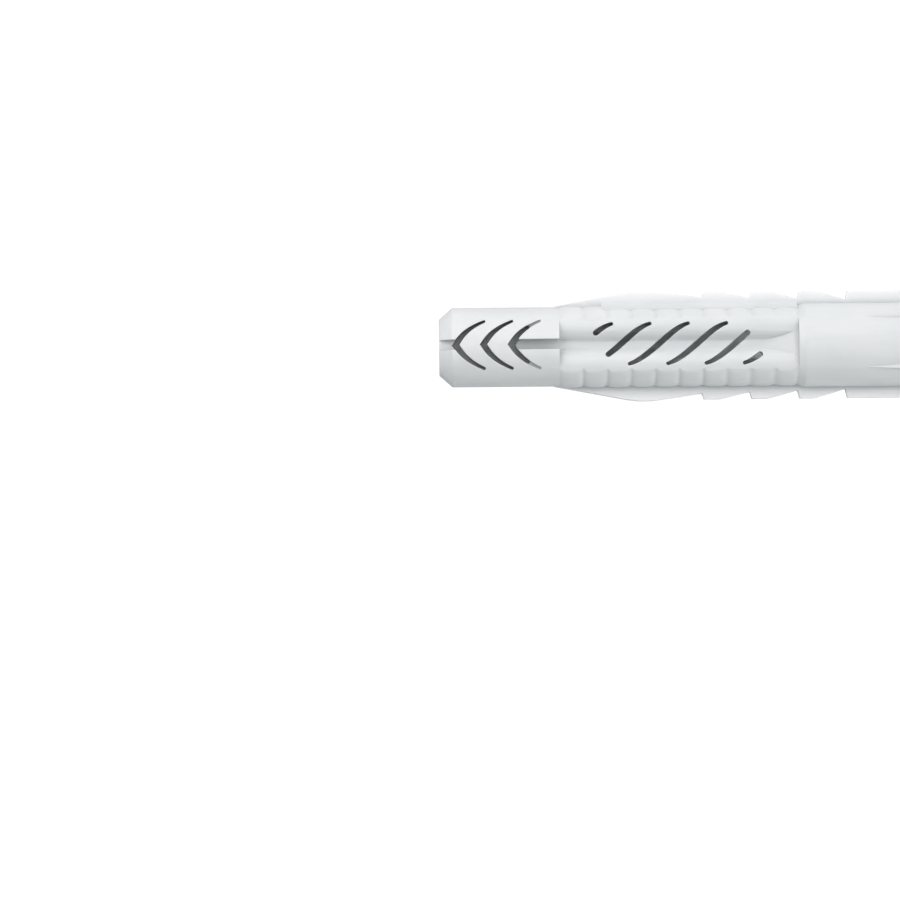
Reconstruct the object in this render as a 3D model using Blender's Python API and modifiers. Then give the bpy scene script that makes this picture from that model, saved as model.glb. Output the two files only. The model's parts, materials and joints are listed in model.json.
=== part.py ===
"""Universal wall plug: one nylon moulding with a bore, two barbed fins, ribs and slots.

Sizes are in millimetres. The plug stands on its mouth, with its tip up along +Z.
Three distances place every feature: u runs from the tip towards the mouth, v runs
across the fins (+X) and w runs out of the front face (-Y). Apart from its slanted
slots, the back face is the front one turned half a turn about the plug's axis.
"""

import math

import bmesh
import bpy
from mathutils import Matrix

MM = 0.001

# Overall form. Radii that follow the body's are given as steps from it
LENGTH = 61.0
BODY_RADIUS = 5.0
TIP_DRAFT = 0.07
TIP_CHAMFER_WIDTH = 1.43
TIP_CHAMFER_LENGTH = 1.65
COLLAR_LENGTH = 16.4
COLLAR_STEP = 0.3
COLLAR_CHAMFER = 1.0
RUN_INTO_COLLAR = 0.12
TURN_STEPS = 48

# Screw bore, from the mouth to the tip
MOUTH_LEAD_IN = 0.45
MOUTH_BORE_RADIUS = 3.3
MOUTH_BORE_DEPTH = 15.0
BORE_TAPER_LENGTH = 7.0
MID_BORE_RADIUS = 2.05
TIP_BORE_TAPER_LENGTH = 3.0
TIP_BORE_RADIUS = 1.1

# Long window in each face, over a wall round the bore. Its flanks roll over at a shoulder
# between the floor and the edge, which lies on the ribs' crests
WINDOW_START = 14.95
WINDOW_WALL = 0.75
WINDOW_FLOOR_HALF = 0.5
WINDOW_EDGE = 3.55
WINDOW_SHOULDER_HALF = 1.5
WINDOW_SHOULDER_DROP = 0.25
WINDOW_SPREAD = 0.35
WINDOW_RAMP_LENGTH = 4.3
WINDOW_RAMP_RISE = 1.4

# Narrow groove between the last chevron and the window, and the one down the tip's chamfer
LINK_GROOVE_HALF = 0.65
LINK_GROOVE_WALL = 0.8
TIP_GROOVE_DEPTH = 1.53

# Curved chevron slots near the tip. The flare is how far it draws the arms' ends out.
# The last one is deep as far as its own reach, and its arms' ends are shallow
CHEVRON_COUNT = 3
CHEVRON_FIRST_APEX = 1.6
CHEVRON_PITCH = 3.45
CHEVRON_ARM_REACH = 2.92
CHEVRON_APEX_SLOPE = 0.649
CHEVRON_FLARE = 1.64
CHEVRON_APEX_HALF = 0.475
CHEVRON_WALL = 0.4
LAST_CHEVRON_REACH = 2.0
SHALLOW_END_DEPTH = 1.15
SHALLOW_END_WIDTH_SHARE = 0.85
ARM_STEPS = 6

# S-shaped slots in the window. Those of the back face lie between those of the front
SLOT_START_MARGIN = 2.83
SLOT_END_MARGIN = 3.13
SLOT_HALF_SPAN = 3.65
SLOT_MIDDLE_SLOPE = 0.88
SLOT_END_FLATTENING = 0.73
FRONT_SLOT_COUNT = 6
FRONT_SHORT_STARTS = (1.7, -1.5)
BACK_SLOT_COUNT = 5
BACK_SHORT_STARTS = (0.0,)
SLOT_MIDDLE_HALF = 0.39
SLOT_END_HALF = 0.23
SLOT_REACH_INTO_BORE = 0.85
SLOT_STEPS = 10
END_ARC_STEPS = 4

# Rib bands beside the fins. Their edges end under the windows' flanks
RIB_COUNT = 10
RIB_HEIGHT = 0.15
RIB_NOTCH_DEPTH = 0.1
RIB_BAND_EDGE = 2.95
RIB_POWER = 4
RIB_STATIONS = (0.0, 0.08, 0.2, 0.5, 0.8, 0.92)

# Barbed fins. The wave's two slopes would meet at its corner, which is rounded off
FIN_LEAD = 0.65
FIN_THICKNESS = 1.5
FIN_PEAK_SHARE = 0.6
FIN_CORNER_HEIGHT = 2.04
FIN_PEAK_ROUNDING = 2.2
BARB_COUNT = 3
BARB_PITCH = 5.97
LAST_BARB_TO_MOUTH = 10.29
BARB_HEIGHT = 0.74
BARB_ROOT_HEIGHT = 0.95
BARB_ROOT_DROP = 0.13
BARB_LEAN = 0.25
BARB_CREST_LENGTH = 1.9
BARB_SHOULDER = 0.35
BEND_STEPS = 4

# Hollow fillet at the fins' feet. It goes on into the fin by a share of its first step
FOOT_LEAD = 5.25
FOOT_WIDTH = 2.6
FOOT_HEIGHT = 0.55
FOOT_LIP = 0.08
FOOT_TUCK = 0.5
FOOT_STEPS = 4

# Short ridges on the collar
RIDGE_ANGLE = 38.3
RIDGE_LENGTH = 8.6
RIDGE_HEIGHT = 0.4
RIDGE_HALF_WIDTH = 0.4

PLASTIC_COLOUR = (0.71, 0.74, 0.75, 1.0)
PLASTIC_ROUGHNESS = 0.42

# How far a cutter runs past what it cuts, and what is cut at the mouth runs past that
PAST = 2.0
MOUTH_SPARE = 0.5

# Radii and levels that follow from the above
TIP_RADIUS = BODY_RADIUS - TIP_DRAFT
TIP_FACE_RADIUS = TIP_RADIUS - TIP_CHAMFER_WIDTH
COLLAR_RADIUS = BODY_RADIUS + COLLAR_STEP
MOUTH_RADIUS = MOUTH_BORE_RADIUS + MOUTH_LEAD_IN
RIB_RADIUS = BODY_RADIUS + RIB_HEIGHT
BARB_FIRST_ROOT = BODY_RADIUS + BARB_ROOT_HEIGHT
BARB_CREST_RADIUS = BARB_FIRST_ROOT + BARB_HEIGHT
FIN_CORNER_RADIUS = BODY_RADIUS + FIN_CORNER_HEIGHT
WINDOW_FLOOR_LEVEL = MID_BORE_RADIUS + WINDOW_WALL
WINDOW_SHOULDER_LEVEL = BODY_RADIUS - WINDOW_SHOULDER_DROP
CHEVRON_FLOOR_LEVEL = TIP_BORE_RADIUS + CHEVRON_WALL
SHALLOW_END_LEVEL = BODY_RADIUS - SHALLOW_END_DEPTH

# Places along the plug that follow from the above
COLLAR_START = LENGTH - COLLAR_LENGTH
WINDOW_END = COLLAR_START + RUN_INTO_COLLAR
WINDOW_LENGTH = WINDOW_END - WINDOW_START
FIN_START = WINDOW_START - FIN_LEAD
BARB_START = LENGTH - LAST_BARB_TO_MOUTH - BARB_COUNT * BARB_PITCH
FIN_PEAK = FIN_START + FIN_PEAK_SHARE * (BARB_START - FIN_START)

# Where joined forms end inside the wall, and where cutters end outside the plug
ROOT_LEVEL = (MOUTH_RADIUS + BODY_RADIUS) / 2
OUTSIDE = max(COLLAR_RADIUS, FIN_CORNER_RADIUS, BARB_CREST_RADIUS) + PAST

# Axes of an outline drawn in plan (u, v), in section (v, w) and from the side (u, w)
PLAN = Matrix(((0, 1, 0), (0, 0, -1), (-1, 0, 0)))
SECTION = Matrix(((1, 0, 0), (0, -1, 0), (0, 0, -1)))
SIDE = Matrix(((0, 0, -1), (0, -1, 0), (-1, 0, 0)))


def clear_scene():
    for obj in list(bpy.data.objects):
        bpy.data.objects.remove(obj, do_unlink=True)


def new_collection(name):
    collection = bpy.data.collections.new(name)
    bpy.context.scene.collection.children.link(collection)
    return collection


def tip_point(u, v, w):
    """The place of a point at u, v, w, in metres."""
    return (v * MM, -w * MM, (LENGTH - u) * MM)


def keep_mesh(obj, collection):
    """Turns a curve, or an object with modifiers, into a plain welded mesh object."""
    bpy.context.view_layer.update()
    graph = bpy.context.evaluated_depsgraph_get()
    mesh = bpy.data.meshes.new_from_object(obj.evaluated_get(graph))
    shape = bmesh.new()
    shape.from_mesh(mesh)
    bmesh.ops.remove_doubles(shape, verts=shape.verts, dist=0.001 * MM)
    bmesh.ops.recalc_face_normals(shape, faces=shape.faces)
    shape.to_mesh(mesh)
    shape.free()
    name, place = obj.name, obj.matrix_world.copy()
    bpy.data.objects.remove(obj, do_unlink=True)
    result = bpy.data.objects.new(name, mesh)
    result.matrix_world = place
    collection.objects.link(result)
    return result


def plate(name, outline, axes, middle, thickness, collection):
    """A flat outline on the given axes, with its thickness centred on the middle point."""
    curve = bpy.data.curves.new(name, "CURVE")
    curve.dimensions = "2D"
    curve.fill_mode = "BOTH"
    curve.extrude = thickness / 2 * MM
    spline = curve.splines.new("POLY")
    spline.points.add(len(outline) - 1)
    for point, (x, y) in zip(spline.points, outline):
        point.co = (x * MM, y * MM, 0.0, 1.0)
    spline.use_cyclic_u = True
    obj = bpy.data.objects.new(name, curve)
    obj.matrix_world = Matrix.Translation(middle) @ axes.to_4x4()
    collection.objects.link(obj)
    return keep_mesh(obj, collection)


def turned(name, profile, collection):
    """A closed profile of (radius, u) points, turned about the plug's axis."""
    mesh = bpy.data.meshes.new(name)
    shape = bmesh.new()
    verts = [shape.verts.new((radius * MM, 0.0, (LENGTH - u) * MM)) for radius, u in profile]
    for first, second in zip(verts, verts[1:] + verts[:1]):
        shape.edges.new((first, second))
    shape.to_mesh(mesh)
    shape.free()
    obj = bpy.data.objects.new(name, mesh)
    collection.objects.link(obj)
    screw = obj.modifiers.new("turn", "SCREW")
    screw.axis = "Z"
    screw.steps = TURN_STEPS
    screw.render_steps = TURN_STEPS
    screw.use_merge_vertices = True
    screw.merge_threshold = 0.0000001
    return keep_mesh(obj, collection)


def turned_round(obj, collection):
    """The same form on the other face, half a turn about the plug's axis."""
    other = obj.copy()
    other.data = obj.data.copy()
    other.name = obj.name + "_back"
    other.matrix_world = Matrix.Rotation(math.pi, 4, "Z") @ obj.matrix_world
    collection.objects.link(other)
    return other


def on_both_faces(forms, collection):
    return forms + [turned_round(form, collection) for form in forms]


def join(name, forms, collection):
    """One mesh object made of forms that don't touch each other."""
    shape = bmesh.new()
    for form in forms:
        mesh = form.data.copy()
        mesh.transform(form.matrix_world)
        shape.from_mesh(mesh)
        bpy.data.meshes.remove(mesh)
        bpy.data.objects.remove(form, do_unlink=True)
    joined = bpy.data.meshes.new(name)
    shape.to_mesh(joined)
    shape.free()
    obj = bpy.data.objects.new(name, joined)
    collection.objects.link(obj)
    return obj


def combined(obj, other, operation, collection):
    """The object joined with the other or cut by it, as a welded mesh again."""
    step = obj.modifiers.new(other.name, "BOOLEAN")
    step.operation = operation
    step.object = other
    other.hide_render = True
    other.display_type = "WIRE"
    return keep_mesh(obj, collection)


def ribbon(centre, halves):
    """Outline of a slot with round ends, from its centre line and its half widths."""
    left, right = [], []
    last = len(centre) - 1
    for i, (x, y) in enumerate(centre):
        before, after = centre[max(i - 1, 0)], centre[min(i + 1, last)]
        run, rise = after[0] - before[0], after[1] - before[1]
        size = math.hypot(run, rise)
        across = (-rise / size * halves[i], run / size * halves[i])
        left.append((x + across[0], y + across[1]))
        right.append((x - across[0], y - across[1]))
    far_cap = end_arc(centre[-1], left[-1])
    near_cap = end_arc(centre[0], right[0])
    return left + far_cap + right[::-1] + near_cap


def end_arc(middle, start):
    """Points of the half circle about the middle that begins at start, without its ends."""
    radius = math.dist(middle, start)
    first = math.atan2(start[1] - middle[1], start[0] - middle[0])
    angles = [first - math.pi * k / END_ARC_STEPS for k in range(1, END_ARC_STEPS)]
    return [(middle[0] + radius * math.cos(a), middle[1] + radius * math.sin(a)) for a in angles]


def bend(start, corner, end):
    """Points of the smooth bend from start to end that leaves both towards the corner."""
    points = []
    for k in range(BEND_STEPS + 1):
        t = k / BEND_STEPS
        shares = ((1 - t) ** 2, 2 * t * (1 - t), t**2)
        points.append(tuple(sum(map(math.prod, zip(shares, places))) for places in zip(start, corner, end)))
    return points


def plan_cutter(name, outline, floor_level, collection):
    """A cutter drawn in plan that reaches from its floor level out past the surface."""
    middle = tip_point(0, 0, (floor_level + OUTSIDE) / 2)
    return plate(name, outline, PLAN, middle, OUTSIDE - floor_level, collection)


def body_profile():
    """Down the outside from the tip to just past the mouth, and back up the bore."""
    mouth_bore_end = LENGTH - MOUTH_BORE_DEPTH
    spare_end = LENGTH + MOUTH_SPARE
    outside = [
        (TIP_BORE_RADIUS, 0.0),
        (TIP_FACE_RADIUS, 0.0),
        (TIP_RADIUS, TIP_CHAMFER_LENGTH),
        (BODY_RADIUS, COLLAR_START),
        (COLLAR_RADIUS, COLLAR_START + COLLAR_CHAMFER),
        (COLLAR_RADIUS, spare_end),
    ]
    bore = [
        (MOUTH_RADIUS + MOUTH_SPARE, spare_end),
        (MOUTH_BORE_RADIUS, LENGTH - MOUTH_LEAD_IN),
        (MOUTH_BORE_RADIUS, mouth_bore_end),
        (MID_BORE_RADIUS, mouth_bore_end - BORE_TAPER_LENGTH),
        (MID_BORE_RADIUS, WINDOW_START),
        (TIP_BORE_RADIUS, WINDOW_START - TIP_BORE_TAPER_LENGTH),
    ]
    return outside + bore


def rib_profile():
    """Ten pillow-shaped ribs one after another, closed inside the body's wall."""
    pitch = WINDOW_LENGTH / RIB_COUNT
    notch_radius = BODY_RADIUS - RIB_NOTCH_DEPTH
    outside = []
    for rib in range(RIB_COUNT):
        for station in RIB_STATIONS:
            fullness = 1 - abs(2 * station - 1) ** RIB_POWER
            radius = notch_radius + (RIB_RADIUS - notch_radius) * fullness
            outside.append((radius, WINDOW_START + (rib + station) * pitch))
    outside.append((notch_radius, WINDOW_END))
    return outside + [(ROOT_LEVEL, WINDOW_END), (ROOT_LEVEL, WINDOW_START)]


def rib_bands(cutters):
    """The ribs, kept only beside the fins, where the mould's sides make them."""
    ribs = turned("ribs", rib_profile(), cutters)
    outline = [
        (WINDOW_START - PAST, -RIB_BAND_EDGE),
        (WINDOW_END + PAST, -RIB_BAND_EDGE),
        (WINDOW_END + PAST, RIB_BAND_EDGE),
        (WINDOW_START - PAST, RIB_BAND_EDGE),
    ]
    gap = plate("rib_gap", outline, PLAN, tip_point(0, 0, 0), 2 * OUTSIDE, cutters)
    return combined(ribs, gap, "DIFFERENCE", cutters)


def fin_outline():
    """The fin in plan: a long wave, then barbs with steep fronts towards the tip."""
    rise = (FIN_CORNER_RADIUS - TIP_RADIUS) / (FIN_PEAK - FIN_START)
    fall = (FIN_CORNER_RADIUS - BARB_FIRST_ROOT) / (BARB_START - FIN_PEAK)
    ease = FIN_PEAK_ROUNDING
    peak_start = (FIN_PEAK - ease, FIN_CORNER_RADIUS - rise * ease)
    peak_end = (FIN_PEAK + ease, FIN_CORNER_RADIUS - fall * ease)
    points = [(FIN_START, ROOT_LEVEL), (FIN_START, TIP_RADIUS)]
    points += bend(peak_start, (FIN_PEAK, FIN_CORNER_RADIUS), peak_end)
    foot = (BARB_START, BARB_FIRST_ROOT)
    points.append(foot)
    for _ in range(BARB_COUNT):
        next_foot = (foot[0] + BARB_PITCH, foot[1] - BARB_ROOT_DROP)
        crest_end = foot[0] + BARB_LEAN + BARB_CREST_LENGTH
        shoulder = (crest_end + BARB_SHOULDER, BARB_CREST_RADIUS)
        points.append((foot[0] + BARB_LEAN, BARB_CREST_RADIUS))
        points += bend((crest_end, BARB_CREST_RADIUS), shoulder, next_foot)
        foot = next_foot
    points.append((foot[0] + BARB_LEAN, BARB_CREST_RADIUS))
    end = LENGTH + 2 * MOUTH_SPARE
    return points + [(end, BARB_CREST_RADIUS), (end, ROOT_LEVEL)]


def fin(cutters):
    """One fin, with its flat side on the mould's parting plane."""
    middle = tip_point(0, 0, FIN_THICKNESS / 2)
    return plate("fin", fin_outline(), PLAN, middle, FIN_THICKNESS, cutters)


def fin_foot(cutters):
    """The hollow fillet that spreads the fin's foot over the rib band."""
    flank_top = math.sqrt(RIB_RADIUS**2 - FIN_THICKNESS**2) + FOOT_HEIGHT
    edge_level = math.sqrt((RIB_RADIUS + FOOT_LIP) ** 2 - FOOT_WIDTH**2)
    root = math.sqrt(ROOT_LEVEL**2 - FOOT_WIDTH**2)
    spread = FOOT_WIDTH - FIN_THICKNESS
    hollow = []
    for k in range(1, FOOT_STEPS + 1):
        turn = math.pi / 2 * k / FOOT_STEPS
        v = flank_top - (flank_top - edge_level) * math.sin(turn)
        hollow.append((v, FIN_THICKNESS + spread * (1 - math.cos(turn))))
    tucked_v = flank_top + (flank_top - hollow[0][0]) * FOOT_TUCK
    tucked_w = FIN_THICKNESS - (hollow[0][1] - FIN_THICKNESS) * FOOT_TUCK
    outline = [(tucked_v, FIN_THICKNESS / 2), (tucked_v, tucked_w)] + hollow
    outline += [(root, FOOT_WIDTH), (root, FIN_THICKNESS / 2)]
    length = WINDOW_LENGTH - FOOT_LEAD
    middle = tip_point(WINDOW_END - length / 2, 0, 0)
    return plate("fin_foot", outline, SECTION, middle, length, cutters)


def collar_ridge(side, cutters):
    """A ridge that rises out of the collar on its way to the mouth."""
    crest = COLLAR_RADIUS + RIDGE_HEIGHT
    depth = crest - ROOT_LEVEL
    half = RIDGE_HALF_WIDTH * depth / RIDGE_HEIGHT
    outline = [(-half, -depth), (half, -depth), (0, 0)]
    ridge = plate("ridge", outline, SECTION, (0, 0, 0), 2 * RIDGE_LENGTH, cutters)
    tilt = Matrix.Rotation(-math.atan2(RIDGE_HEIGHT, RIDGE_LENGTH), 4, "X")
    place = Matrix.Translation((0, -crest * MM, 0))
    turn = Matrix.Rotation(math.radians(side * RIDGE_ANGLE), 4, "Z")
    ridge.matrix_world = turn @ place @ tilt @ SECTION.to_4x4()
    return ridge


def below_mouth(cutters):
    """What lies past the mouth face."""
    outline = [(-OUTSIDE, -OUTSIDE), (OUTSIDE, -OUTSIDE), (OUTSIDE, OUTSIDE), (-OUTSIDE, OUTSIDE)]
    depth = RIDGE_LENGTH + PAST
    middle = tip_point(LENGTH + depth / 2, 0, 0)
    return plate("past_mouth", outline, SECTION, middle, depth, cutters)


def window_section():
    """A flat floor between two flanks that roll over into the ribs' crests."""
    edge = (WINDOW_EDGE, math.sqrt(RIB_RADIUS**2 - WINDOW_EDGE**2))
    shoulder = (WINDOW_SHOULDER_HALF, WINDOW_SHOULDER_LEVEL)
    flank = bend((WINDOW_FLOOR_HALF, WINDOW_FLOOR_LEVEL), shoulder, edge)
    wide = edge[0] + (edge[0] - shoulder[0]) * WINDOW_SPREAD
    low = edge[1] + (edge[1] - shoulder[1]) * WINDOW_SPREAD
    right = flank + [(wide, low), (wide, OUTSIDE)]
    left = [(-v, w) for v, w in reversed(right)]
    return right + left


def window(cutters):
    """The window's section run along the face, under a floor that ramps up to the collar."""
    middle = tip_point(WINDOW_START + WINDOW_LENGTH / 2, 0, 0)
    groove = plate("window", window_section(), SECTION, middle, WINDOW_LENGTH, cutters)
    ramp_foot = WINDOW_END - WINDOW_RAMP_LENGTH
    ramp_slope = WINDOW_RAMP_RISE / WINDOW_RAMP_LENGTH
    ramp = [
        (ramp_foot, WINDOW_FLOOR_LEVEL),
        (ramp_foot, 0.0),
        (WINDOW_END + PAST, 0.0),
        (WINDOW_END + PAST, WINDOW_FLOOR_LEVEL + ramp_slope * (WINDOW_RAMP_LENGTH + PAST)),
    ]
    floor = plate("window_ramp", ramp, SIDE, tip_point(0, 0, 0), 2 * OUTSIDE, cutters)
    return combined(groove, floor, "DIFFERENCE", cutters)


def link_groove(cutters):
    """The straight groove from the last chevron to the window."""
    start = CHEVRON_FIRST_APEX + (CHEVRON_COUNT - 1) * CHEVRON_PITCH + CHEVRON_APEX_HALF
    outline = [
        (start, -LINK_GROOVE_HALF),
        (WINDOW_START + LINK_GROOVE_HALF, -LINK_GROOVE_HALF),
        (WINDOW_START + LINK_GROOVE_HALF, LINK_GROOVE_HALF),
        (start, LINK_GROOVE_HALF),
    ]
    return plan_cutter("link_groove", outline, MID_BORE_RADIUS + LINK_GROOVE_WALL, cutters)


def tip_groove(cutters):
    """The groove from the tip's face down its chamfer into the first chevron."""
    end = CHEVRON_FIRST_APEX + CHEVRON_APEX_HALF
    outline = [
        (-PAST, -LINK_GROOVE_HALF),
        (end, -LINK_GROOVE_HALF),
        (end, LINK_GROOVE_HALF),
        (-PAST, LINK_GROOVE_HALF),
    ]
    return plan_cutter("tip_groove", outline, TIP_RADIUS - TIP_GROOVE_DEPTH, cutters)


def chevron(number, reach, width_share, floor_level, cutters):
    """Curved arms that flatten as they leave the apex."""
    apex = CHEVRON_FIRST_APEX + number * CHEVRON_PITCH + CHEVRON_APEX_HALF
    apex_half = CHEVRON_APEX_HALF * width_share
    centre, halves = [], []
    for k in range(-ARM_STEPS, ARM_STEPS + 1):
        v = reach * k / ARM_STEPS
        out = abs(v) / CHEVRON_ARM_REACH
        slope = CHEVRON_APEX_SLOPE + 3 * CHEVRON_FLARE / CHEVRON_ARM_REACH * out**2
        centre.append((apex + CHEVRON_APEX_SLOPE * abs(v) + CHEVRON_FLARE * out**3, v))
        halves.append(apex_half / math.hypot(1, slope) if k else apex_half)
    return plan_cutter("chevron", ribbon(centre, halves), floor_level, cutters)


def chevrons(cutters):
    reaches = [CHEVRON_ARM_REACH] * (CHEVRON_COUNT - 1) + [LAST_CHEVRON_REACH]
    return [chevron(k, reach, 1, CHEVRON_FLOOR_LEVEL, cutters) for k, reach in enumerate(reaches)]


def shallow_chevron(cutters):
    """The shallow cut that carries the last chevron's arms on to their full reach."""
    last = CHEVRON_COUNT - 1
    return chevron(last, CHEVRON_ARM_REACH, SHALLOW_END_WIDTH_SHARE, SHALLOW_END_LEVEL, cutters)


def s_slots(count, short_starts, lean, cutters):
    """Slots that cross the window at a slant down to the bore, the outer ones cut short."""
    forms = []
    first_middle = WINDOW_START + SLOT_START_MARGIN
    last_middle = WINDOW_END - SLOT_END_MARGIN
    pitch = (last_middle - first_middle) / (FRONT_SLOT_COUNT - 1)
    group_middle = (first_middle + last_middle) / 2
    starts = list(short_starts) + [-SLOT_HALF_SPAN] * (count - len(short_starts))
    for slot in range(count):
        middle = group_middle + (slot - (count - 1) / 2) * pitch
        start, end = starts[slot], -starts[count - 1 - slot]
        centre, halves = [], []
        for k in range(SLOT_STEPS + 1):
            x = start + (end - start) * k / SLOT_STEPS
            out = x / SLOT_HALF_SPAN
            centre.append((middle + x, lean * (SLOT_MIDDLE_SLOPE * x - SLOT_END_FLATTENING * out**3)))
            halves.append(SLOT_MIDDLE_HALF - (SLOT_MIDDLE_HALF - SLOT_END_HALF) * out**2)
        floor_level = MID_BORE_RADIUS - SLOT_REACH_INTO_BORE
        forms.append(plan_cutter("s_slot", ribbon(centre, halves), floor_level, cutters))
    return forms


def slanted_slots(cutters):
    """Both faces' slots, which lean the same way seen through the plug and so never cross."""
    front = s_slots(FRONT_SLOT_COUNT, FRONT_SHORT_STARTS, 1, cutters)
    back = []
    for form in s_slots(BACK_SLOT_COUNT, BACK_SHORT_STARTS, -1, cutters):
        back.append(turned_round(form, cutters))
        bpy.data.objects.remove(form, do_unlink=True)
    return front + back


def plastic():
    material = bpy.data.materials.new("light_grey_nylon")
    material.use_nodes = True
    shader = material.node_tree.nodes["Principled BSDF"]
    shader.inputs["Base Color"].default_value = PLASTIC_COLOUR
    shader.inputs["Roughness"].default_value = PLASTIC_ROUGHNESS
    shader.inputs["Metallic"].default_value = 0.0
    return material


def wall_plug(parts, cutters):
    plug = turned("wall_plug", body_profile(), parts)
    ridges = [collar_ridge(side, cutters) for side in (-1, 1)]
    joined = (
        ("rib_bands", [rib_bands(cutters)]),
        ("fin_feet", on_both_faces([fin_foot(cutters)], cutters)),
        ("fins", on_both_faces([fin(cutters)], cutters)),
        ("ridges", on_both_faces(ridges, cutters)),
    )
    cut = (
        ("past_mouth", [below_mouth(cutters)]),
        ("windows", on_both_faces([window(cutters)], cutters)),
        ("link_grooves", on_both_faces([link_groove(cutters)], cutters)),
        ("tip_grooves", on_both_faces([tip_groove(cutters)], cutters)),
        ("chevron_slots", on_both_faces(chevrons(cutters), cutters)),
        ("chevron_ends", on_both_faces([shallow_chevron(cutters)], cutters)),
        ("slanted_slots", slanted_slots(cutters)),
    )
    for name, forms in joined:
        plug = combined(plug, join(name, forms, cutters), "UNION", parts)
    for name, forms in cut:
        plug = combined(plug, join(name, forms, cutters), "DIFFERENCE", parts)
    plug.data.materials.append(plastic())
    plug.data.shade_smooth()
    plug.data.set_sharp_from_angle(angle=math.radians(30))
    return plug


def main():
    clear_scene()
    parts = new_collection("universal_wall_plug")
    cutters = new_collection("cutters")
    wall_plug(parts, cutters)


main()
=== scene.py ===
"""Looks of the universal wall plug: the finely modelled moulding, its nylon finish and the stage.

The plug stands on its mouth with its tip up. Three distances place every feature:
u runs from the tip towards the mouth, v across the fins (+X) and w out of the front
face (-Y). All of them are in metres.
"""

import json
import math

import bpy
from bpy.props import FloatProperty, FloatVectorProperty, IntProperty, PointerProperty
from mathutils import Matrix, Quaternion, Vector

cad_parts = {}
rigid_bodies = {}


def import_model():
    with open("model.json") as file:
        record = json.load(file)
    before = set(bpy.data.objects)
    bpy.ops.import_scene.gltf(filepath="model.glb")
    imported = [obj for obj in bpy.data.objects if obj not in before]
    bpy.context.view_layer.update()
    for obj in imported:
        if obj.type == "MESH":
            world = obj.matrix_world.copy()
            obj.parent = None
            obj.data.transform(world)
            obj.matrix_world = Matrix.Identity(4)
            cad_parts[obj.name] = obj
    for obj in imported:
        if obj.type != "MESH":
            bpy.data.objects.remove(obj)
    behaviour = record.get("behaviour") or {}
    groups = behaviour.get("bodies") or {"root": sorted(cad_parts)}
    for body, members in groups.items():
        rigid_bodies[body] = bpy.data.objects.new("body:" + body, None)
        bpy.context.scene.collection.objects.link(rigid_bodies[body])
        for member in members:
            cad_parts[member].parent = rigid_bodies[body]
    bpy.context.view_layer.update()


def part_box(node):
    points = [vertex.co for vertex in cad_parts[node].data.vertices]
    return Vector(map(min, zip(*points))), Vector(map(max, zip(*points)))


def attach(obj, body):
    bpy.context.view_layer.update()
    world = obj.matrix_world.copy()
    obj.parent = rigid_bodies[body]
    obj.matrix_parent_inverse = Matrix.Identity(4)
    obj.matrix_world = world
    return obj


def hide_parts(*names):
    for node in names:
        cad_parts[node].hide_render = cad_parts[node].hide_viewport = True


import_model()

bl_info = {
    "name": "Universal Wall Plug",
    "version": (1, 0, 0),
    "blender": (4, 5, 0),
    "location": "3D View > Sidebar > Wall Plug",
    "description": "Models a wall plug's moulding, its nylon and the stage it is shown on",
    "category": "Add Mesh",
}

MM = 0.001

# Points nearer than this are one, in a drawn outline and after two forms are combined.
CLOSE = 0.0001 * MM
WELD = 0.0005 * MM

# How far cutters reach past the plug, and how much is left over to trim at the mouth.
PAST = 2 * MM
SPARE = 0.5 * MM

# A corner flatter than this stays as it is, and an edge is at least so many roundings long.
FLAT_CORNER = math.radians(165)
ROUNDINGS_PER_EDGE = 2.2

# Share of a chevron's arm beside its apex that has no points of its own.
CHEVRON_STRAIGHT = 0.16

# How square the ribs' pillow shape is, and how often the ridges' radius goes into the fins'.
RIB_POWER = 4
RIDGE_FINENESS = 3

BEVEL_SEGMENTS = 3
BEVEL_ANGLE = math.radians(60)
SMOOTH_ANGLE = math.radians(32)

# The fine part of the grain, against its coarse part.
FINE_GRAIN_FREQUENCY = 3.1
FINE_GRAIN_HEIGHT = 0.4

NYLON_IOR = 1.53
SCATTER_RADII = (1.0, 0.95, 0.9)
STREAK_SCALE = (1.0, 1.0, 0.12)

# Stretches of the noise over which the tone deepens and the sheen changes.
CLOUD_FROM, CLOUD_TO = 0.12, 0.42
SHEEN_FROM, SHEEN_TO = 0.3, 0.7
SMOOTHER, ROUGHER = 0.04, 0.05

# The floor's finish, and how far it lies below the mouth.
FLOOR_TONE = (0.94, 0.94, 0.94, 1.0)
FLOOR_ROUGHNESS = 0.9
FLOOR_SHINE = 0.1
FLOOR_SIDES = 96
FLOOR_GRAIN = 900.0
FLOOR_TOOTH = 0.02 * MM
FLOOR_GAP = 0.02 * MM
WHITE = (1.0, 1.0, 1.0, 1.0)

# Where the lights stand, in metres.
KEY_PLACE = (0.32, -0.385, 0.4)
FRONT_PLACE = (0.09, -0.49, 0.12)
TOP_PLACE = (0.1, 0.25, 0.8)

# Where the camera begins to see, as a share of its distance.
NEAREST_SEEN = 0.01

NODE = "wall_plug"
PLUG_LOW, PLUG_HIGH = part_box(NODE)


def size(name, description, millimetres):
    """A length property whose default is given in millimetres."""
    return FloatProperty(
        name=name, description=description, default=millimetres * MM, unit="LENGTH", precision=5
    )


def share(name, description, value):
    """A plain number between nought and a few."""
    return FloatProperty(name=name, description=description, default=value, min=0.0)


def whole(name, description, value, least):
    """A whole number with its least value."""
    return IntProperty(name=name, description=description, default=value, min=least)


def colour(name, description, value):
    """A linear colour with no alpha."""
    return FloatVectorProperty(
        name=name, description=description, default=value, size=3, subtype="COLOR",
        min=0.0, max=1.0,
    )


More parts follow.
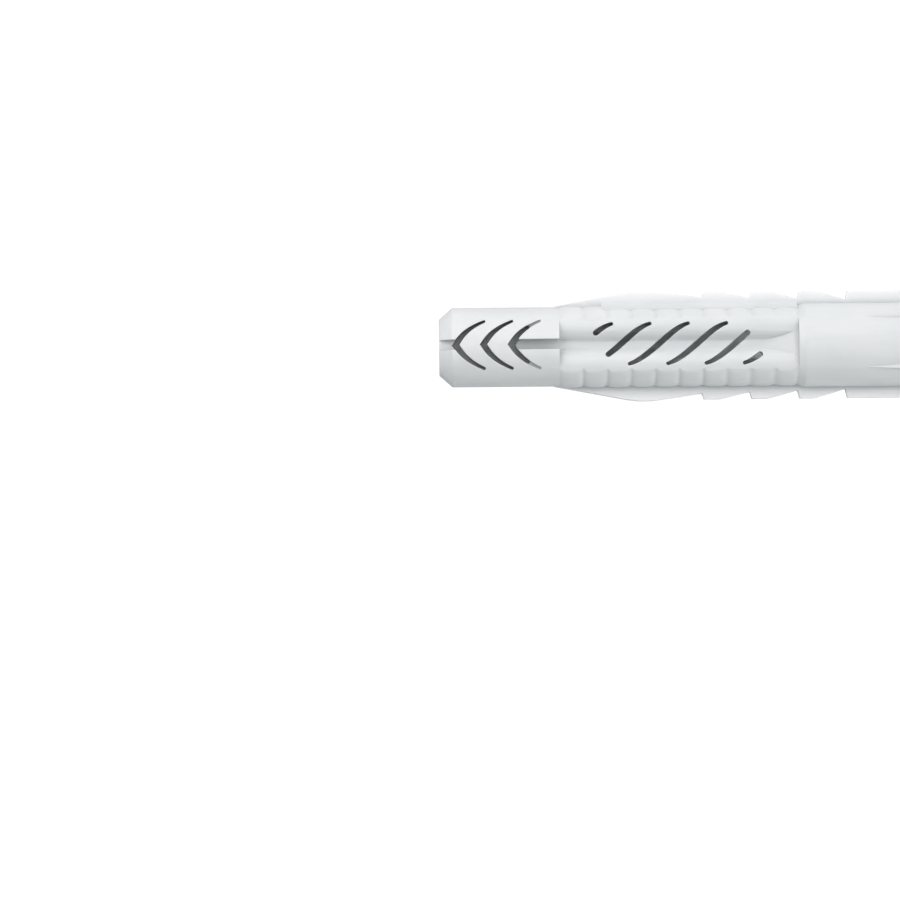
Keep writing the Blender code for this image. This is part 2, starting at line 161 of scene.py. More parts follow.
class PlugBody(bpy.types.PropertyGroup):
    """Sizes of the turned body, its bore and the ribs beside the fins."""

    length: size("Length", "From the mouth to the tip", (PLUG_HIGH.z - PLUG_LOW.z) / MM)
    radius: size("Body radius", "Of the body between the tip and the collar", 5.0)
    tip_draft: size("Tip draft", "How much thinner the tip is than the body", 0.07)
    tip_chamfer_width: size("Tip chamfer width", "Across the tip's cone", 1.43)
    tip_chamfer_length: size("Tip chamfer length", "Along the tip's cone", 1.65)
    collar_length: size("Collar length", "Of the thicker end at the mouth", 16.4)
    collar_step: size("Collar step", "How far the collar stands out of the body", 0.3)
    collar_chamfer: size("Collar chamfer", "Length of the cone up to the collar", 1.0)
    lead_in: size("Lead-in", "Chamfer of the bore at the mouth", 0.45)
    mouth_bore_radius: size("Mouth bore radius", "Of the wide part of the bore", 3.3)
    mouth_bore_depth: size("Mouth bore depth", "Of the wide part of the bore", 15.0)
    bore_taper: size("Bore taper", "Length of the cone between the wide and the middle bore", 7.0)
    mid_bore_radius: size("Middle bore radius", "Of the bore under the windows", 2.05)
    tip_bore_taper: size("Tip bore taper", "Length of the cone down to the tip's bore", 3.0)
    tip_bore_radius: size("Tip bore radius", "Of the small hole in the tip", 1.1)
    rib_count: whole("Ribs", "Ribs one after another", 10, 1)
    rib_height: size("Rib height", "How far a rib stands out of the body", 0.15)
    rib_notch: size("Rib notch", "How deep the notches between the ribs are", 0.1)
    rib_edge: size("Rib edge", "Distance of the rib bands' edges from the middle plane", 2.95)
    edge_softness: size("Edge softness", "Reach of the small radius on moulded edges", 0.16)
    seam: size("Seam", "How far the mould's seam line stands out of the tip", 0.035)


class PlugSlots(bpy.types.PropertyGroup):
    """Sizes of the windows, chevrons and S-shaped slots."""

    window_start: size("Window start", "From the tip", 14.95)
    window_wall: size("Window wall", "Between the window's floor and the bore", 0.75)
    window_floor_half: size("Window floor half width", "Of the flat floor", 0.5)
    window_ease: size("Window ease", "Reach of the hollow between floor and flanks", 0.3)
    window_edge: size("Window edge", "Half width where the flanks meet the ribs' crests", 3.55)
    shoulder_half: size("Shoulder half width", "Of the corner that the flanks roll over at", 1.5)
    shoulder_drop: size("Shoulder drop", "How far that corner lies below the body's top", 0.25)
    window_spread: share("Window spread", "How far the flanks' line goes on past the edge", 0.35)
    window_ramp: size("Window ramp", "Length of the ramp up to the collar", 4.3)
    ramp_rise: size("Ramp rise", "How high the ramp climbs", 1.22)
    run_into_collar: size("Run into collar", "Of windows and ribs into the collar's cone", 0.12)
    link_half: size("Link groove half width", "Of the groove before the window", 0.65)
    link_wall: size("Link groove wall", "Between the link groove's floor and the bore", 0.8)
    tip_groove_depth: size("Tip groove depth", "Of the groove down the tip's chamfer", 1.53)
    chevron_count: whole("Chevrons", "Chevrons on a face", 3, 1)
    chevron_first: size("First chevron", "Its outer apex, from the tip", 1.6)
    chevron_pitch: size("Chevron pitch", "From one chevron to the next", 3.45)
    chevron_reach: size("Chevron reach", "Of each arm across the plug", 2.92)
    chevron_slope: share("Chevron slope", "Run of the arms to their reach at the apex", 0.649)
    chevron_flare: size("Chevron flare", "How far the arms' ends are drawn out", 1.64)
    chevron_half: size("Chevron half width", "Along the plug", 0.475)
    chevron_wall: size("Chevron wall", "Between the chevrons' floor and the bore", 0.4)
    last_reach: size("Last chevron reach", "Of the deep part of its arms", 2.15)
    shallow_depth: size("Shallow depth", "Of its arms' ends, below the body's top", 1.35)
    shallow_share: share("Shallow share", "Width of its arms' ends to that of the others", 0.85)
    slot_start_margin: size(
        "Slot start margin", "From the window's start to the first slot's middle", 2.83
    )
    slot_end_margin: size(
        "Slot end margin", "From the last slot's middle to the window's end", 3.13
    )
    slot_half_span: size("Slot half span", "Half a slot's length along the plug", 3.65)
    slot_slope: share("Slot slope", "Rise to run at a slot's middle", 0.88)
    slot_flattening: size("Slot flattening", "How far a slot's ends bend towards the axis", 0.73)
    slot_half: size("Slot half width", "At the slot's middle", 0.39)
    slot_end_half: size("Slot end half width", "At the slot's ends", 0.23)
    slot_into_bore: size("Slot into bore", "How far the slots' floor lies inside the bore", 0.85)
    front_slots: whole("Front slots", "Slots on the front", 6, 2)
    back_slots: whole("Back slots", "Slots on the back", 5, 2)
    front_first_start: size("First front slot", "Where it starts, from its own middle", 1.7)
    front_second_start: size("Second front slot", "Where it starts, from its own middle", -1.5)
    back_first_start: size("First back slot", "Where it starts, from its own middle", 0.0)


class PlugFins(bpy.types.PropertyGroup):
    """Sizes of the barbed fins, their feet and the collar's ridges."""

    lead: size("Fin lead", "How far the fins start before the windows", 0.65)
    thickness: size("Fin thickness", "From the parting plane to one side", 1.5)
    peak_share: share("Peak share", "Where the wave peaks, along its length", 0.6)
    corner_height: size("Wave corner height", "Above the body, where the slopes would meet", 2.035)
    peak_rounding: size("Peak rounding", "Half length of the wave's round top", 2.2)
    barb_count: whole("Barbs", "Barbs before the last one", 3, 1)
    barb_pitch: size("Barb pitch", "From one barb to the next", 5.97)
    last_barb: size("Last barb", "From its foot to the mouth", 10.29)
    barb_height: size("Barb height", "From its root to its crest", 0.74)
    root_height: size("Root height", "Of the first barb's root above the body", 0.95)
    root_drop: size("Root drop", "From one root to the next", 0.13)
    barb_lean: size("Barb lean", "Run of the steep front", 0.25)
    crest_length: size("Crest length", "Of the level part", 1.9)
    shoulder: size("Shoulder", "How far the bend's corner lies past the crest", 0.35)
    edge_radius: size("Edge radius", "Of the fins' own edges", 0.13)
    foot_lead: size("Foot lead", "Where the foot fillet starts after the window's start", 5.25)
    foot_width: size("Foot width", "From the parting plane", 2.6)
    foot_height: size("Foot height", "Up the fin's side", 0.55)
    foot_lip: size("Foot lip", "How far the foot's edge stands above the ribs", 0.08)
    foot_tuck: share("Foot tuck", "Share of its first step that lies inside the fin", 0.5)
    ridge_angle: FloatProperty(
        name="Ridge angle", description="From the middle of a face", default=math.radians(36.6),
        subtype="ANGLE",
    )
    ridge_length: size("Ridge length", "Along the collar", 8.6)
    ridge_height: size("Ridge height", "At the mouth", 0.6)
    ridge_half: size("Ridge half width", "At the mouth", 0.55)


class PlugFineness(bpy.types.PropertyGroup):
    """How finely the curved stretches are divided."""

    turn: whole("Turn", "Steps of a full turn", 160, 24)
    rib: whole("Rib", "Steps along one rib", 14, 4)
    bend: whole("Bend", "Steps of a rounded corner", 4, 1)
    long_bend: whole("Long bend", "Steps of a long bend", 12, 2)
    arm: whole("Arm", "Steps along a chevron's arm", 14, 3)
    slot: whole("Slot", "Steps along a slot", 24, 4)
    cap: whole("Cap", "Steps of a slot's round end", 8, 2)


class NylonFinish(bpy.types.PropertyGroup):
    """The look of the moulded nylon."""

    tone: colour("Tone", "The nylon's colour", (0.585, 0.605, 0.613))
    deep_tone: colour("Deep tone", "Where the moulding is cloudy", (0.54, 0.565, 0.575))
    # Painted light: the fins' outer parts are painted paler, from the start to the end distance
    # below, to stand in for light shining through the thin nylon.
    painted_glow_tone: colour(
        "Thin tone", "Of the thin fins' edges, which light comes through", (0.73, 0.745, 0.755)
    )
    painted_glow_start: size("Thin start", "From the middle plane to where the fins turn paler", 5.2)
    painted_glow_end: size("Thin end", "From the middle plane to where the thin tone is full", 6.8)
    # Painted shade: creases, slots and notches get this darker tone, within the reach below, where
    # shade falls in them.
    painted_crease_shade: colour("Crease tone", "In the depth of narrow creases", (0.36, 0.38, 0.39))
    crease: size("Crease", "How far from a crease its tone is seen", 0.7)
    cloud_size: size("Cloud size", "Of the faint cloudiness", 6.0)
    flow_size: size("Flow size", "Of the faint streaks along the plug", 1.1)
    grain_size: size("Grain size", "Of the mould's fine grain", 0.09)
    grain_depth: size("Grain depth", "Of the mould's fine grain", 0.0016)
    roughness: share("Roughness", "Of the satin surface", 0.42)
    scatter: share("Scatter", "Share of the light that enters the nylon", 0.3)
    scatter_depth: size("Scatter depth", "How far that light goes", 0.5)
    edge: size("Edge", "Radius that softens every edge", 0.09)


class StageSetup(bpy.types.PropertyGroup):
    """Floor, light and camera."""

    scale: size("Scale", "Real size of one pixel at the plug", 0.125)
    image: FloatProperty(name="Image", description="Pixels across the square image", default=900.0)
    tip_x: FloatProperty(name="Tip", description="Pixel column of the tip's face", default=440.0)
    axis_y: FloatProperty(
        name="Axis", description="Pixel row of the plug's axis below the tip", default=347.8
    )
    tilt: FloatProperty(
        name="Tilt", description="Slope of the plug's axis in the image",
        default=math.radians(0.51), subtype="ANGLE",
    )
    azimuth: FloatProperty(
        name="Azimuth", description="Where the camera stands round the plug",
        default=math.radians(-4.5), subtype="ANGLE",
    )
    lens: FloatProperty(name="Lens", description="Focal length in millimetres", default=200.0)
    sensor: FloatProperty(name="Sensor", description="Sensor width in millimetres", default=36.0)
    floor_size: size("Floor size", "Across the floor", 1400.0)
    floor_glow: share("Floor glow", "How far the floor is lit through from below", 0.44)
    room: colour("Room", "Colour of the room's light", (0.965, 0.985, 1.0))
    room_strength: share("Room strength", "Of the light from all round", 0.4)
    backdrop_strength: share("Backdrop strength", "Of the white seen behind the plug", 1.05)
    key_power: share("Key power", "Of the soft light above the camera, in watts", 3.0)
    front_power: share("Front power", "Of the weak light beside the camera, in watts", 0.6)
    top_power: share("Top power", "Of the large soft light over the floor, in watts", 2.55)
    bore_power: share("Bore power", "Of the glow from the open mouth, in watts", 0.0015)
    key_colour: colour("Key colour", "Of the light above the camera", (1.0, 0.955, 0.94))
    key_size: size("Key size", "Across each light on the camera's side", 600.0)
    top_size: size("Top size", "Across the light over the floor", 1600.0)


def bend(start, corner, end, steps):
    """Points of the smooth bend from start to end that leaves both towards the corner."""
    points = []
    for k in range(steps + 1):
        t = k / steps
        shares = ((1 - t) ** 2, 2 * t * (1 - t), t**2)
        points.append(tuple(sum(map(math.prod, zip(shares, p))) for p in zip(start, corner, end)))
    return points


def softened(outline, reach, steps):
    """The closed outline with each corner rounded off, as far as its neighbours allow."""
    points = []
    for i, corner in enumerate(outline):
        before = outline[i - 1]
        after = outline[(i + 1) % len(outline)]
        to_before = Vector(before) - Vector(corner)
        to_after = Vector(after) - Vector(corner)
        if to_before.angle(to_after) > FLAT_CORNER:
            points.append(corner)
            continue
        near = min(reach, min(to_before.length, to_after.length) / ROUNDINGS_PER_EDGE)
        start = Vector(corner) + to_before.normalized() * near
        end = Vector(corner) + to_after.normalized() * near
        points += bend(tuple(start), corner, tuple(end), steps)
    return points


def end_arc(middle, start, steps):
    """Points of the half circle about the middle that begins at start, without its ends."""
    radius = math.dist(middle, start)
    first = math.atan2(start[1] - middle[1], start[0] - middle[0])
    angles = [first - math.pi * k / steps for k in range(1, steps)]
    return [(middle[0] + radius * math.cos(a), middle[1] + radius * math.sin(a)) for a in angles]


def ribbon(centre, halves, steps):
    """Outline of a slot with round ends, from its centre line and its half widths."""
    left, right = [], []
    last = len(centre) - 1
    for i, (x, y) in enumerate(centre):
        before, after = centre[max(i - 1, 0)], centre[min(i + 1, last)]
        run, rise = after[0] - before[0], after[1] - before[1]
        reach = math.hypot(run, rise)
        across = (-rise / reach * halves[i], run / reach * halves[i])
        left.append((x + across[0], y + across[1]))
        right.append((x - across[0], y - across[1]))
    far_end = end_arc(centre[-1], left[-1], steps)
    near_end = end_arc(centre[0], right[0], steps)
    return left + far_end + right[::-1] + near_end


class Bench:
    """The sizes of one plug, and the places that follow from them."""

    def __init__(self, scene):
        self.body, self.slots, self.fins = scene.plug_body, scene.plug_slots, scene.plug_fins
        self.fine = scene.plug_fineness
        body, slots, fins = self.body, self.slots, self.fins
        self.tip_radius = body.radius - body.tip_draft
        self.collar_radius = body.radius + body.collar_step
        self.rib_radius = body.radius + body.rib_height
        self.collar_start = body.length - body.collar_length
        self.window_end = self.collar_start + slots.run_into_collar
        self.window_length = self.window_end - slots.window_start
        self.floor_level = body.mid_bore_radius + slots.window_wall
        self.fin_start = slots.window_start - fins.lead
        self.barb_start = body.length - fins.last_barb - fins.barb_count * fins.barb_pitch
        self.first_root = body.radius + fins.root_height
        self.crest = self.first_root + fins.barb_height
        self.root = (body.mouth_bore_radius + body.lead_in + body.radius) / 2
        self.outside = self.crest + PAST

    def at(self, u, v, w):
        """The place of a point at u, v, w."""
        return Vector((v, -w, self.body.length - u))


def new_form(name):
    """An empty mesh object at the origin, in edit mode."""
    bpy.ops.object.select_all(action="DESELECT")
    bpy.ops.mesh.primitive_plane_add(location=(0, 0, 0))
    obj = bpy.context.object
    obj.name = name
    bpy.ops.object.mode_set(mode="EDIT")
    bpy.ops.mesh.delete(type="VERT")
    return obj


def draw(places):
    """Draws a closed chain of edges through the places and leaves it selected."""
    bpy.ops.mesh.select_all(action="DESELECT")
    bpy.ops.mesh.primitive_plane_add(size=MM, location=places[0])
    bpy.ops.mesh.merge(type="CENTER")
    for before, after in zip(places, places[1:] + places[:1]):
        bpy.ops.mesh.extrude_vertices_move(TRANSFORM_OT_translate={"value": after - before})
    bpy.ops.mesh.select_linked()
    bpy.ops.mesh.remove_doubles(threshold=CLOSE)


def extruded(places, along):
    """A closed solid: the outline through the places, filled and extruded."""
    draw(places)
    bpy.ops.mesh.edge_face_add()
    bpy.ops.mesh.extrude_region_move(TRANSFORM_OT_translate={"value": along})
    bpy.ops.mesh.select_linked()


def turned(places, steps):
    """A closed solid: the outline spun about the axis, its steps beside the parting plane."""
    draw(places)
    bpy.ops.mesh.spin(steps=steps, angle=2 * math.pi, center=(0, 0, 0), axis=(0, 0, 1))
    bpy.ops.mesh.select_all(action="SELECT")
    bpy.ops.mesh.remove_doubles(threshold=CLOSE)
    bpy.ops.transform.rotate(value=math.pi / steps, orient_axis="Z", center_override=(0, 0, 0))


def keep_side(place, normal):
    """Cuts the selected solid with a plane and keeps what lies on the normal's side."""
    bpy.ops.mesh.bisect(
        plane_co=place, plane_no=normal, use_fill=True, clear_inner=True, threshold=CLOSE
    )


def and_turned_round():
    """Copies all of the form in edit mode half a turn about the plug's axis."""
    bpy.ops.mesh.select_all(action="SELECT")
    bpy.ops.mesh.duplicate()
    bpy.ops.transform.rotate(value=math.pi, orient_axis="Z", center_override=(0, 0, 0))


def finished(obj):
    """Turns the form's faces outwards and leaves edit mode."""
    bpy.ops.mesh.select_all(action="SELECT")
    bpy.ops.mesh.normals_make_consistent(inside=False)
    bpy.ops.object.mode_set(mode="OBJECT")
    return obj


def apply(obj, modifier):
    """Makes the modifier's result the object's own mesh."""
    bpy.ops.object.select_all(action="DESELECT")
    obj.select_set(True)
    bpy.context.view_layer.objects.active = obj
    bpy.ops.object.modifier_apply(modifier=modifier.name)


def combine(obj, other, operation):
    """Joins the other form to the object or cuts it out, and clears the other form away."""
    step = obj.modifiers.new(other.name, "BOOLEAN")
    step.operation = operation
    step.object = other
    apply(obj, step)
    bpy.data.objects.remove(other, do_unlink=True)
    bpy.ops.object.mode_set(mode="EDIT")
    bpy.ops.mesh.select_all(action="SELECT")
    bpy.ops.mesh.remove_doubles(threshold=WELD)
    bpy.ops.object.mode_set(mode="OBJECT")


def turned_body(bench):
    """The body, from the tip down the outside to just past the mouth and back up the bore."""
    body, slots = bench.body, bench.slots
    spare_end = body.length + SPARE
    mouth_bore_end = body.length - body.mouth_bore_depth
    profile = [
        (body.tip_bore_radius, 0.0),
        (bench.tip_radius - body.tip_chamfer_width, 0.0),
        (bench.tip_radius, body.tip_chamfer_length),
        (body.radius, bench.collar_start),
        (bench.collar_radius, bench.collar_start + body.collar_chamfer),
        (bench.collar_radius, spare_end),
        (body.mouth_bore_radius + body.lead_in + SPARE, spare_end),
        (body.mouth_bore_radius, body.length - body.lead_in),
        (body.mouth_bore_radius, mouth_bore_end),
        (body.mid_bore_radius, mouth_bore_end - body.bore_taper),
        (body.mid_bore_radius, slots.window_start),
        (body.tip_bore_radius, slots.window_start - body.tip_bore_taper),
    ]
    obj = new_form("wall_plug_moulding")
    soft = softened(profile, body.edge_softness, bench.fine.bend)
    turned([bench.at(u, r, 0) for r, u in soft], bench.fine.turn)
    return finished(obj)


def rib_bands(bench):
    """Pillow-shaped ribs beside the fins, where the mould's sides make them."""
    body, slots = bench.body, bench.slots
    pitch = bench.window_length / body.rib_count
    notch = body.radius - body.rib_notch
    steps = bench.fine.rib
    profile = []
    for rib in range(body.rib_count):
        for k in range(steps):
            station = (1 - math.cos(math.pi * k / steps)) / 2
            fullness = 1 - (2 * station - 1) ** RIB_POWER
            radius = notch + (bench.rib_radius - notch) * fullness
            profile.append((radius, (rib + station) * pitch))
    profile += [(notch, bench.window_length), (bench.root, bench.window_length), (bench.root, 0.0)]
    obj = new_form("ribs")
    turned([bench.at(slots.window_start + u, r, 0) for r, u in profile], bench.fine.turn)
    bpy.ops.mesh.select_all(action="SELECT")
    keep_side((body.rib_edge, 0, 0), (1, 0, 0))
    and_turned_round()
    return finished(obj)


def fin_outline(bench):
    """The fin in plan: a long wave, then barbs with steep fronts towards the tip."""
    body, fins, fine = bench.body, bench.fins, bench.fine
    corner = (
        bench.fin_start + fins.peak_share * (bench.barb_start - bench.fin_start),
        body.radius + fins.corner_height,
    )
    rise = (corner[1] - bench.tip_radius) / (corner[0] - bench.fin_start)
    fall = (corner[1] - bench.first_root) / (bench.barb_start - corner[0])
    ease = fins.peak_rounding
    peak_start = (corner[0] - ease, corner[1] - rise * ease)
    peak_end = (corner[0] + ease, corner[1] - fall * ease)
    points = [(bench.fin_start, bench.root), (bench.fin_start, bench.tip_radius)]
    points += bend(peak_start, corner, peak_end, fine.long_bend)
    foot = (bench.barb_start, bench.first_root)
    for _ in range(fins.barb_count):
        crest_start = (foot[0] + fins.barb_lean, bench.crest)
        crest_end = (crest_start[0] + fins.crest_length, bench.crest)
        shoulder = (crest_end[0] + fins.shoulder, bench.crest)
        points += [foot, crest_start]
        foot = (foot[0] + fins.barb_pitch, foot[1] - fins.root_drop)
        points += bend(crest_end, shoulder, foot, fine.long_bend)[:-1]
    end = body.length + 2 * SPARE
    points += [foot, (foot[0] + fins.barb_lean, bench.crest)]
    points += [(end, bench.crest), (end, bench.root)]
    return softened(points, fins.edge_radius, fine.bend)


def fins(bench):
    """Both fins, each with its flat side on the mould's parting plane and softened edges."""
    obj = new_form("fins")
    outline = [bench.at(u, v, 0) for u, v in fin_outline(bench)]
    extruded(outline, bench.at(0, 0, bench.fins.thickness) - bench.at(0, 0, 0))
    finished(obj)
    edges = obj.modifiers.new("edges", "BEVEL")
    edges.width = bench.fins.edge_radius
    edges.segments = BEVEL_SEGMENTS
    edges.angle_limit = BEVEL_ANGLE
    apply(obj, edges)
    bpy.ops.object.mode_set(mode="EDIT")
    and_turned_round()
    return finished(obj)


def fin_feet(bench):
    """The hollow fillets that spread the fins' feet over the rib bands."""
    fins, steps = bench.fins, bench.fine.long_bend
    flank_top = math.sqrt(bench.rib_radius**2 - fins.thickness**2) + fins.foot_height
    edge_level = math.sqrt((bench.rib_radius + fins.foot_lip) ** 2 - fins.foot_width**2)
    root = math.sqrt(bench.root**2 - fins.foot_width**2)
    spread = fins.foot_width - fins.thickness
    hollow = []
    for k in range(1, steps + 1):
        turn = math.pi / 2 * k / steps
        v = flank_top - (flank_top - edge_level) * math.sin(turn)
        hollow.append((v, fins.thickness + spread * (1 - math.cos(turn))))
    tucked_v = flank_top + (flank_top - hollow[0][0]) * fins.foot_tuck
    tucked_w = fins.thickness - (hollow[0][1] - fins.thickness) * fins.foot_tuck
    outline = [(tucked_v, fins.thickness / 2), (tucked_v, tucked_w)] + hollow
    outline += [(root, fins.foot_width), (root, fins.thickness / 2)]
    start = bench.slots.window_start + fins.foot_lead
    obj = new_form("fin_feet")
    along = bench.at(bench.window_end, 0, 0) - bench.at(start, 0, 0)
    extruded([bench.at(start, v, w) for v, w in outline], along)
    and_turned_round()
    return finished(obj)


def ridges(bench):
    """Ridges that rise out of the collar on their way to the mouth."""
    fins = bench.fins
    crest = bench.collar_radius + fins.ridge_height
    depth = crest - bench.root
    half = fins.ridge_half * depth / fins.ridge_height
    section = [(-half, -depth), (half, -depth), (0.0, 0.0)]
    soft = softened(section, fins.edge_radius / RIDGE_FINENESS, bench.fine.bend)
    obj = new_form("ridges")
    for side in (-1, 1):
        tilt = Matrix.Rotation(-math.atan2(fins.ridge_height, fins.ridge_length), 4, "X")
        place = Matrix.Translation((0, -crest, 0))
        turn = Matrix.Rotation(side * fins.ridge_angle, 4, "Z")
        matrix = turn @ place @ tilt
        foot = [matrix @ Vector((v, -w, -fins.ridge_length)) for v, w in soft]
        extruded(foot, matrix.to_3x3() @ Vector((0, 0, 2 * fins.ridge_length)))
    and_turned_round()
    return finished(obj)


def seam(bench):
    """The fine line that the mould's parting plane leaves along the tip."""
    body = bench.body
    stand = body.seam
    reach = bench.tip_radius + stand
    inner = bench.tip_radius - body.tip_chamfer_width
    outline = [
        (stand, inner / 2),
        (stand, inner + stand),
        (body.tip_chamfer_length, reach),
        (bench.fin_start + SPARE, reach),
        (bench.fin_start + SPARE, inner),
    ]
    obj = new_form("seam")
    outline = [bench.at(u, v, -stand) for u, v in outline]
    extruded(outline, bench.at(0, 0, 2 * stand) - bench.at(0, 0, 0))
    and_turned_round()
    return finished(obj)


def below_mouth(bench):
    """A block of all that lies past the mouth face."""
    reach = bench.outside
    corners = [(-reach, -reach), (reach, -reach), (reach, reach), (-reach, reach)]
    obj = new_form("past_mouth")
    down = Vector((0, 0, -bench.fins.ridge_length - PAST))
    extruded([Vector((x, y, 0)) for x, y in corners], down)
    return finished(obj)


def window_section(bench):
    """A flat floor, hollows, and flanks that roll over into the ribs' crests."""
    slots = bench.slots
    floor = (slots.window_floor_half, bench.floor_level)
    edge = (slots.window_edge, math.sqrt(bench.rib_radius**2 - slots.window_edge**2))
    shoulder = (slots.shoulder_half, bench.body.radius - slots.shoulder_drop)
    flank = bend(floor, shoulder, edge, bench.fine.long_bend)
    floor_end = (floor[0] - slots.window_ease, floor[1])
    wide = edge[0] + (edge[0] - shoulder[0]) * slots.window_spread
    low = edge[1] + (edge[1] - shoulder[1]) * slots.window_spread
    right = bend(floor_end, floor, flank[1], bench.fine.bend) + flank[2:]
    right += [(wide, low), (wide, bench.outside)]
    return right + [(-v, w) for v, w in reversed(right)]


def windows(bench):
    """The long windows, whose floor ramps up to the collar."""
    slots = bench.slots
    start = slots.window_start
    obj = new_form("windows")
    along = bench.at(bench.window_end, 0, 0) - bench.at(start, 0, 0)
    extruded([bench.at(start, v, w) for v, w in window_section(bench)], along)
    ramp_foot = bench.at(bench.window_end - slots.window_ramp, 0, bench.floor_level)
    keep_side(ramp_foot, Vector((0, -slots.window_ramp, slots.ramp_rise)))
    and_turned_round()
    return finished(obj)


def plan_cutters(bench, name, outlines, level):
    """Cutters drawn in plan, from their floor level out past the surface, in edit mode."""
    obj = new_form(name)
    out = bench.at(0, 0, bench.outside) - bench.at(0, 0, level)
    for outline in outlines:
        extruded([bench.at(u, v, level) for u, v in outline], out)
    return obj


def link_grooves(bench):
    """The straight grooves from the last chevrons to the windows."""
    slots = bench.slots
    half = slots.link_half
    last = slots.chevron_count - 1
    start = slots.chevron_first + last * slots.chevron_pitch + slots.chevron_half
    end = slots.window_start + half
    level = bench.body.mid_bore_radius + slots.link_wall
    outline = [(start, -half), (end, -half), (end, half), (start, half)]
    obj = plan_cutters(bench, "link_grooves", [outline], level)
    and_turned_round()
    return finished(obj)


def tip_grooves(bench):
    """The grooves that lead from the tip's face into the first chevrons."""
    slots = bench.slots
    half = slots.link_half
    end = slots.chevron_first + slots.chevron_half
    outline = [(-PAST, -half), (end, -half), (end, half), (-PAST, half)]
    obj = plan_cutters(bench, "tip_grooves", [outline], bench.tip_radius - slots.tip_groove_depth)
    and_turned_round()
    return finished(obj)


def chevron_outline(bench, number, reach, width_share):
    """Curved arms that flatten as they leave the apex."""
    slots, steps = bench.slots, bench.fine.arm
    apex = slots.chevron_first + number * slots.chevron_pitch + slots.chevron_half
    apex_half = slots.chevron_half * width_share
    centre, halves = [], []
    bent = 1 - CHEVRON_STRAIGHT
    for k in range(-steps, steps + 1):
        along = CHEVRON_STRAIGHT + bent * (abs(k) - 1) / (steps - 1) if k else 0.0
        v = math.copysign(reach * along, k)
        out = abs(v) / slots.chevron_reach
        slope = slots.chevron_slope + 3 * slots.chevron_flare / slots.chevron_reach * out**2
        centre.append((apex + slots.chevron_slope * abs(v) + slots.chevron_flare * out**3, v))
        halves.append(apex_half / math.hypot(1, slope) if k else apex_half)
    return ribbon(centre, halves, bench.fine.cap)


def chevrons(bench):
    """The deep chevrons, the last one with shorter arms."""
    slots = bench.slots
    reaches = [slots.chevron_reach] * (slots.chevron_count - 1) + [slots.last_reach]
    outlines = [chevron_outline(bench, k, reach, 1) for k, reach in enumerate(reaches)]
    level = bench.body.tip_bore_radius + slots.chevron_wall
    obj = plan_cutters(bench, "chevrons", outlines, level)
    and_turned_round()
    return finished(obj)


def chevron_ends(bench):
    """The shallow cuts that carry the last chevrons' arms on to their full reach."""
    slots = bench.slots
    last = slots.chevron_count - 1
    outline = chevron_outline(bench, last, slots.chevron_reach, slots.shallow_share)
    level = bench.body.radius - slots.shallow_depth
    obj = plan_cutters(bench, "chevron_ends", [outline], level)
    and_turned_round()
    return finished(obj)


def slot_outlines(bench, count, short_starts, lean):
    """S-shaped outlines across the window, the outer ones cut short."""
    slots, steps = bench.slots, bench.fine.slot
    span = slots.slot_half_span
    first_middle = slots.window_start + slots.slot_start_margin
    last_middle = bench.window_end - slots.slot_end_margin
    pitch = (last_middle - first_middle) / (slots.front_slots - 1)
    group_middle = (first_middle + last_middle) / 2
    starts = list(short_starts) + [-span] * (count - len(short_starts))
    outlines = []
    for slot in range(count):
        middle = group_middle + (slot - (count - 1) / 2) * pitch
        start, end = starts[slot], -starts[count - 1 - slot]
        centre, halves = [], []
        for k in range(steps + 1):
            x = start + (end - start) * k / steps
            out = x / span
            rise = slots.slot_slope * x - slots.slot_flattening * out**3
            centre.append((middle + x, lean * rise))
            halves.append(slots.slot_half - (slots.slot_half - slots.slot_end_half) * out**2)
        outlines.append(ribbon(centre, halves, bench.fine.cap))
    return outlines


def slanted_slots(bench, front):
    """One face's slots. Seen through the plug, both faces' slots lean the same way."""
    slots = bench.slots
    if front:
        short_starts = (slots.front_first_start, slots.front_second_start)
        outlines = slot_outlines(bench, slots.front_slots, short_starts, 1)
    else:
        short_starts = (slots.back_first_start,)
        outlines = slot_outlines(bench, slots.back_slots, short_starts, -1)
    level = bench.body.mid_bore_radius - slots.slot_into_bore
    obj = plan_cutters(bench, "front_slots" if front else "back_slots", outlines, level)
    if not front:
        bpy.ops.mesh.select_all(action="SELECT")
        bpy.ops.transform.rotate(value=math.pi, orient_axis="Z", center_override=(0, 0, 0))
    return finished(obj)


def link(tree, source, target):
    """Joins an output socket to an input socket."""
    tree.links.new(source, target)


def set_up(node, **settings):
    """Gives the node its settings. A name with a capital is the label of an input socket."""
    for key, value in settings.items():
        if key[0].isupper():
            node.inputs[key.replace("_", " ")].default_value = value
        else:
            setattr(node, key, value)


def add_node(tree, kind, place, **settings):
    """A new node at its place in the tree, with its settings."""
    node = tree.nodes.new(kind)
    node.location = place
    set_up(node, **settings)
    return node


